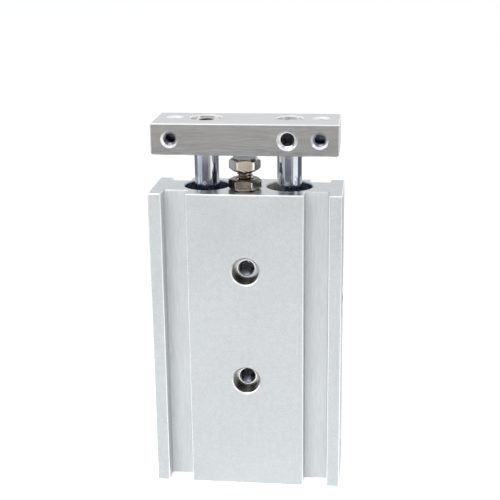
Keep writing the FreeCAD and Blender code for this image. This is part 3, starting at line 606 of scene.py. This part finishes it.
class CYL_OT_stop_bolt(bpy.types.Operator):
    """Makes the stop bolt: hexagon head with a seat for its pad, neck and thread"""
    bl_idname = "cyl.stop_bolt"
    bl_label = "Stop bolt"

    def execute(self, context):
        threads = context.scene.cyl_threads
        start, end, centre = low("bumper_bolt"), high("bumper_bolt"), middle("bumper_bolt")
        pad_low, pad_high = low("bolt_bumper"), high("bolt_bumper")
        flats, height, neck, lip, gap = 0.00685, 0.0031, 0.0002, 0.00004, 0.00002
        slope, turn = 37, math.radians(10)
        major, head = M4 - SCREW_GAP, end[2] - height
        minor = major - SCREW_DEPTH * threads.stop_pitch
        seat = (pad_high[0] - pad_low[0]) / 2 + gap
        face = 0.435 * flats
        under = turned_grid([head, head], [minor, face], FINE)
        sides = hexagon_grid(flats, head, end[2], 2 * threads.edge_break, face, slope)
        top = turned_grid([end[2], end[2], end[2] - lip, pad_low[2], pad_low[2]], [face, seat + lip, seat, seat, 0],
                          FINE)
        grids = shank_grids(major, minor, threads.stop_pitch, start[2], head, neck)
        grids += [(under, True), (sides, True), (top, True)]
        bolt = make_piece("stop_bolt_piece", grids, (centre[0], centre[1], 0), turn=turn)
        # the shank below the head gets the painted shade
        shank = faces_of(bolt)[0][:, 2] < head - 0.000001
        finish_piece(bolt, "bright_plating", "stop_bolt", "bolt_plating", "bumper_bolt",
                     others=[("bolt_thread_painted_shade", shank)])
        return {"FINISHED"}


class CYL_OT_lock_nut(bpy.types.Operator):
    """Makes the lock nut under the stop bolt's head"""
    bl_idname = "cyl.lock_nut"
    bl_label = "Lock nut"

    def execute(self, context):
        threads = context.scene.cyl_threads
        start, end, centre = low("lock_nut"), high("lock_nut"), middle("lock_nut")
        flats, slope, chamfer, mouth = 0.007, 30, 0.0003, M4 + 0.00025
        face = 0.47 * flats
        sides = hexagon_grid(flats, start[2], end[2], threads.edge_break, face, slope)
        under = turned_grid([start[2], start[2]], [mouth, face], FINE)
        top = turned_grid([end[2], end[2], end[2] - chamfer], [face, mouth, M4], FINE)
        wall = turned_grid([end[2] - chamfer, start[2] + chamfer, start[2]], [M4, M4, mouth], FINE)
        grids = [(under, True), (sides, True), (top, True), (wall, True)]
        nut = make_piece("lock_nut_piece", grids, (centre[0], centre[1], 0))
        normals = faces_of(nut)[1]
        # painted shade on the nut's ends, cones and left sides
        dark = (np.abs(normals[:, 2]) > 0.3) | (normals[:, 0] < -0.5)  # its ends, cones and left sides
        # painted highlight: the nut's right sides take the bright plating of the bolt's head
        painted_highlight_faces = (normals[:, 0] > 0.5) & ~dark
        finish_piece(nut, "dull_plating", "housing", "nut_plating", "lock_nut",
                     others=[("painted_shade_plating", dark), ("bright_plating", painted_highlight_faces)])
        return {"FINISHED"}


class CYL_OT_cap_screw(bpy.types.Operator):
    """Makes the cap screw that holds the plate on rod A: knurled head, hexagon socket, thread"""
    bl_idname = "cyl.cap_screw"
    bl_label = "Cap screw"

    def execute(self, context):
        threads = context.scene.cyl_threads
        start, end, centre = low("cap_screw"), high("cap_screw"), middle("cap_screw")
        columns = threads.knurl_count * 6
        height, radius, neck = 0.004, 0.0035, 0.0004
        chamfer, rim, inlet, lowered = 0.00025, 0.0006, 0.00015, 0.0001  # rim: the plain band above the knurl
        flats, depth, face = 0.003, 0.0017, radius - 0.0004
        major, head, top = M4 - SCREW_GAP, end[2] - height, end[2] - lowered
        minor = major - SCREW_DEPTH * threads.stop_pitch
        knurl = radius - threads.knurl_depth * np.clip(np.cos(ring_angles(columns) * threads.knurl_count), 0, 1)
        heights = [head, head, head + chamfer, top - rim, top - rim, top - chamfer, top]
        radii = [np.full(columns, major), knurl - inlet, knurl, knurl, np.full(columns, radius),
                 np.full(columns, radius), np.full(columns, radius - chamfer)]
        more_heights, more_radii = socket_rows(flats, top, top - depth, face, columns)
        body = turned_grid(heights + more_heights, np.array(radii + more_radii), columns)
        grids = shank_grids(major, minor, threads.stop_pitch, start[2], head, neck) + [(body, True)]
        screw = make_piece("cap_screw_piece", grids, (centre[0], centre[1], 0))
        middles = faces_of(screw)[0]
        # painted shade: the socket and its rim are painted black
        reach = 0.61 * flats  # just past the socket's rim
        in_socket = round_axis(middles, 2, centre[0], centre[1], reach)
        in_socket &= middles[:, 2] > top - depth - SOCKET_CONE * flats
        finish_piece(screw, "cap_screw_steel", "rod_assembly", "screw_steel", "cap_screw",
                     others=[("black_oxide", in_socket)])
        return {"FINISHED"}


def socket_screw(name, axis, radius, pitch, flats, depth, place, span):
    """A headless socket screw between 0 and span along its axis: cup tip, thread, chamfered end with a socket."""
    columns = 144
    chamfer, minor = 0.0002, radius - SCREW_DEPTH * pitch
    cup, face = minor - 0.0004, minor - 0.0001
    tip = turned_grid([TIP, 0, TIP], [0, cup, minor], columns)
    thread = thread_grid(radius, minor, pitch, TIP, span - chamfer)
    heights, radii = socket_rows(flats, span, span - depth, face, columns)
    end = turned_grid([span - chamfer] + heights, np.array([np.full(columns, minor)] + radii), columns)
    grids = [(tip, True), (thread, False), (end, True)]
    return make_piece(name, grids, place, axis=axis)


class CYL_OT_set_screws(bpy.types.Operator):
    """Makes the headless socket screws: the clamp screw in the plate and the plugs in the spare ports"""
    bl_idname = "cyl.set_screws"
    bl_label = "Set screw and port plugs"

    def execute(self, context):
        threads = context.scene.cyl_threads
        start, end, centre = low("set_screw"), high("set_screw"), middle("set_screw")
        screw = socket_screw("set_screw_piece", "-Y", M4 - SCREW_GAP, threads.stop_pitch, 0.002, 0.0016,
                             (centre[0], end[1], centre[2]), end[1] - start[1])
        finish_piece(screw, "black_oxide", "rod_assembly", "black_oxide", "set_screw")
        for place in ("lower", "upper"):
            node = "port_plug_" + place
            start, end, centre = low(node), high(node), middle(node)
            plug = socket_screw(node + "_piece", "+X", M5 - SCREW_GAP, threads.port_pitch, 0.0025, 0.0018,
                                (start[0], centre[1], centre[2]), end[0] - start[0])
            finish_piece(plug, "plug_plating", "housing", "plug_steel", node)
        return {"FINISHED"}


def thread_liner(name, axis, place, radius, pitch, span, ride, finish="cut_thread", blind=False):
    """The cut thread in a tapped hole, just inside its wall, over a span (bottom, top) along its axis. A blind one
    ends in a floor that rises towards the wall."""
    bottom, top = span
    minor, major = radius - HOLE_DEPTH * pitch, radius - INSET
    grids = [(thread_grid(minor, major, pitch, bottom, top), False)]
    if blind:
        columns, rise = 48, 0.0001
        grids.append((turned_grid([bottom, bottom + rise], [0, major], columns), True))
    finish_piece(make_piece(name, grids, place, axis=axis, inside=True), finish, *ride)


class CYL_OT_tapped_holes(bpy.types.Operator):
    """Cuts threads in the plate's holes, the set screw's hole, the mounting holes and the open air ports"""
    bl_idname = "cyl.tapped_holes"
    bl_label = "Threads in holes"

    def execute(self, context):
        threads = context.scene.cyl_threads
        start, end = low("plate"), high("plate")
        rod, screw = middle("piston_rod_b"), low("set_screw")
        height, front, side = (start[2] + end[2]) / 2, -start[1], -low("housing")[0]
        plate, housing = ("rod_assembly", "plate_anodised"), ("housing", "housing_anodised")
        # From a hole's outer face to where its thread begins, and where a blind one and a port's end.
        plate_mouth, clamp_mouth, port_mouth, blind, port = 0.00056, 0.00046, 0.0004, 0.0049, 0.0054
        # How far a thread stops short of the end of its hole, and how far it reaches past the set screw's end.
        short, past = 0.0001, 0.0002
        for hole, x in PLATE_HOLES.items():
            thread_liner(f"plate_top_thread_{hole}", "+Z", (x, rod[1], 0), M3, threads.plate_pitch,
                         (start[2] + short, end[2] - plate_mouth), plate, "top_thread")
            # the plate's blind front holes get painted shade on their threads
            thread_liner(f"plate_front_thread_{hole}", "-Y", (x, 0, height), M3, threads.plate_pitch,
                         (front - blind, front - plate_mouth), plate, "deep_thread_painted_shade", blind=True)
        thread_liner("clamp_thread", "-Y", (rod[0], 0, height), M4, threads.stop_pitch,
                     (-screw[1] - past, front - clamp_mouth), plate)
        columns, floor = 64, 0.0052  # the counterbores' floors lie this far from the middle of the housing
        edge_heights, edge_radii = [floor - 0.0003, floor, floor + INSET], [M4 - 0.0002, M4, M4 + 0.00026]
        for name, z in MOUNT_HEIGHTS.items():
            # painted shade on the mounting holes' threads
            thread_liner(f"mounting_thread_{name}", "-Y", (0, 0, z), M4, threads.stop_pitch,
                         (short - floor, floor - short), housing, "deep_thread_painted_shade")
            for face, axis in (("front", "-Y"), ("back", "+Y")):
                # painted highlight round the edge of each mounting hole's thread
                edge = turned_grid(edge_heights, edge_radii, columns)
                ring = make_piece(f"mounting_edge_{name}_{face}", [(edge, True)], (0, 0, z), axis=axis, inside=True)
                finish_piece(ring, "edge_painted_highlight", *housing)
            plug = middle("port_plug_" + name)
            thread_liner(f"port_thread_{name}", "-X", (0, plug[1], plug[2]), M5, threads.port_pitch,
                         (side - port, side - port_mouth), housing)
        return {"FINISHED"}


# ---------------------------------------------------------------- stage


# Cards round the cylinder: name, from and to (degrees from the front towards the right), tone, near, far and rise.
CARDS = (
    ("front_card", -40, 18, (0.14, 0.145, 0.17), 0.24, 0.40, 0.0),
    ("middle_card", 18, 38, (0.44, 0.425, 0.395), 0.24, 0.40, 0.0),
    ("warm_card", -75, 75, (1.0, 0.925, 0.86), 0.40, 0.52, 0.0),
    ("room_card", -110, 110, (0.04, 0.045, 0.055), 1.2, 1.25, 0.7),
    ("far_card", -75, 75, (0.92, 0.85, 0.785), 0.52, 1.2, 0.0),
    ("left_card", -90, -40, (0.62, 0.68, 0.77), 0.24, 0.40, 0.0),
    ("side_left_card", -140, -90, (0.26, 0.28, 0.31), 0.15, 0.7, 0.0),
    ("rear_left_card", -168, -140, (0.08, 0.085, 0.10), 0.15, 0.7, 0.0),
    ("side_right_card", 84, 128, (0.14, 0.15, 0.17), 0.15, 0.7, 0.0),
    ("rear_right_card", 128, 150, (0.32, 0.33, 0.35), 0.15, 0.7, 0.0),
)
LIGHT_AIM = (0, 0, 0.05)
CAMERA_PLACE, CAMERA_DEGREES = (0.029293, -0.259161, 0.137956), (73.1586, 0.6288, 6.1884)
CAMERA_LENS, CAMERA_SENSOR = 80.152, 36.0  # millimetres


def stage_sheet(name, points, faces, material):
    """A bare mesh that belongs to the stage, not to the part."""
    mesh = bpy.data.meshes.new(name)
    mesh.from_pydata(points, [], faces)
    mesh.materials.append(material)
    sheet = bpy.data.objects.new(name, mesh)
    bpy.context.scene.collection.objects.link(sheet)
    return sheet


def add_light(name, place, size, power):
    """A soft rectangular light that faces the middle of the cylinder."""
    lamp = bpy.data.lights.new(name, "AREA")
    lamp.shape = "RECTANGLE"
    lamp.size, lamp.size_y = size
    lamp.energy = power
    light = bpy.data.objects.new(name, lamp)
    light.location = place
    direction = np.asarray(LIGHT_AIM, float) - np.asarray(place, float)
    flat = math.hypot(direction[0], direction[1])
    light.rotation_euler = (math.atan2(flat, -direction[2]), 0, math.atan2(direction[1], direction[0]) - math.pi / 2)
    bpy.context.scene.collection.objects.link(light)


def seen_directly(tree):
    """1 for rays from the camera, from mirror-like surfaces and through clear ones, otherwise 0."""
    path = add_node(tree, "ShaderNodeLightPath")
    seen = path.outputs["Is Camera Ray"]
    for ray in ("Is Glossy Ray", "Is Transmission Ray"):
        either = add_node(tree, "ShaderNodeMath", operation="MAXIMUM")
        tree.links.new(seen, either.inputs[0])
        tree.links.new(path.outputs[ray], either.inputs[1])
        seen = either.outputs[0]
    return seen


def make_world(strength):
    world = bpy.data.worlds.new("studio")
    bpy.context.scene.world = world
    world.use_nodes = True
    tree = world.node_tree
    sky = tree.nodes["Background"]
    sky.inputs["Color"].default_value = (1.0, 1.0, 1.0, 1.0)
    tree.links.new(ranged(tree, seen_directly(tree), 0.0, 1.0, strength, 1.0), sky.inputs["Strength"])


def make_floor(tone):
    material = bpy.data.materials.new("pale_floor")
    material.use_nodes = True
    tree = material.node_tree
    shader = tree.nodes["Principled BSDF"]
    shader.inputs["Base Color"].default_value = (*tone, 1.0)
    shader.inputs["Roughness"].default_value = 0.9
    shader.inputs["Specular IOR Level"].default_value = 0.0
    shader.inputs["Emission Color"].default_value = (1.0, 1.0, 1.0, 1.0)
    reach, glow = 6.0, 0.55
    tree.links.new(ranged(tree, seen_directly(tree), 0.0, 1.0, 0.0, glow), shader.inputs["Emission Strength"])
    stage_sheet("floor", [(-reach, -reach, 0), (reach, -reach, 0), (reach, reach, 0), (-reach, reach, 0)],
                [(0, 1, 2, 3)], material)


def make_card(name, start, end, tone, near, far, rise):
    """A card that only shows in reflections: a sector of the floor from one direction to another, in degrees from
    the front towards the right, and from near to far, where it has risen."""
    material = bpy.data.materials.new(name)
    material.use_nodes = True
    shader = material.node_tree.nodes["Principled BSDF"]
    shader.inputs["Base Color"].default_value = (0.0, 0.0, 0.0, 1.0)
    shader.inputs["Specular IOR Level"].default_value = 0.0
    shader.inputs["Emission Color"].default_value = (*tone, 1.0)
    shader.inputs["Emission Strength"].default_value = 1.0
    columns, lift = 25, 0.0005
    angles = np.radians(np.linspace(start, end, columns))
    radii = np.array([near, far])[:, None]
    heights = np.broadcast_to(np.array([[lift], [lift + rise]]), (2, columns))
    points = np.stack([radii * np.sin(angles), -radii * np.cos(angles), heights], axis=-1).reshape(-1, 3)
    faces = grid_faces(2, columns, False, 0, True)
    card = stage_sheet(name, points.tolist(), faces.tolist(), material)
    card.visible_camera = False
    card.visible_diffuse = False
    card.visible_shadow = False
    card.visible_transmission = False


class CYL_OT_stage(bpy.types.Operator):
    """Sets the pale floor, the soft studio light and the camera"""
    bl_idname = "cyl.stage"
    bl_label = "Stage"

    def execute(self, context):
        scene = context.scene
        stage = scene.cyl_stage
        make_world(stage.sky)
        make_floor(scene.cyl_colours.floor)
        for card in CARDS:
            make_card(*card)
        square, narrow = (0.5, 0.5), (0.3, 0.5)
        add_light("key_light", (-0.25, -0.5, 0.6), square, stage.key_power)
        add_light("right_light", (0.55, -0.25, 0.25), narrow, stage.side_power)
        add_light("left_light", (-0.55, -0.1, 0.2), narrow, stage.side_power)
        lens = bpy.data.cameras.new("camera")
        lens.sensor_width, lens.lens = CAMERA_SENSOR, CAMERA_LENS
        lens.clip_start, lens.clip_end = 0.01, 20.0
        camera = bpy.data.objects.new("camera", lens)
        camera.location = CAMERA_PLACE
        camera.rotation_euler = [math.radians(value) for value in CAMERA_DEGREES]
        scene.collection.objects.link(camera)
        scene.camera = camera
        scene.view_settings.view_transform = "Standard"
        return {"FINISHED"}


# ---------------------------------------------------------------- add-on


class CYL_PT_panel(bpy.types.Panel):
    """Lists the pieces of the cylinder and the values they are made from"""
    bl_idname = "CYL_PT_panel"
    bl_label = "Air cylinder"
    bl_space_type = "VIEW_3D"
    bl_region_type = "UI"
    bl_category = "Cylinder"

    def draw(self, context):
        for kind in STEPS:
            self.layout.operator(kind.bl_idname)
        for values in (context.scene.cyl_threads, context.scene.cyl_colours, context.scene.cyl_stage):
            box = self.layout.box()
            for name in values.__annotations__:
                box.prop(values, name)


STEPS = (CYL_OT_finishes, CYL_OT_stop_bolt, CYL_OT_lock_nut, CYL_OT_cap_screw, CYL_OT_set_screws,
         CYL_OT_tapped_holes, CYL_OT_stage)
VALUES = {"cyl_threads": CYL_PG_threads, "cyl_colours": CYL_PG_colours, "cyl_stage": CYL_PG_stage}


def register():
    for kind in (*VALUES.values(), *STEPS, CYL_PT_panel):
        bpy.utils.register_class(kind)
    for name, kind in VALUES.items():
        setattr(bpy.types.Scene, name, bpy.props.PointerProperty(type=kind))


def unregister():
    for name in VALUES:
        delattr(bpy.types.Scene, name)
    for kind in (CYL_PT_panel, *reversed(STEPS), *VALUES.values()):
        bpy.utils.unregister_class(kind)


def main():
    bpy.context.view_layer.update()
    register()
    for step in STEPS:
        group, name = step.bl_idname.split(".")
        getattr(getattr(bpy.ops, group), name)()


if __name__ == "__main__":
    main()
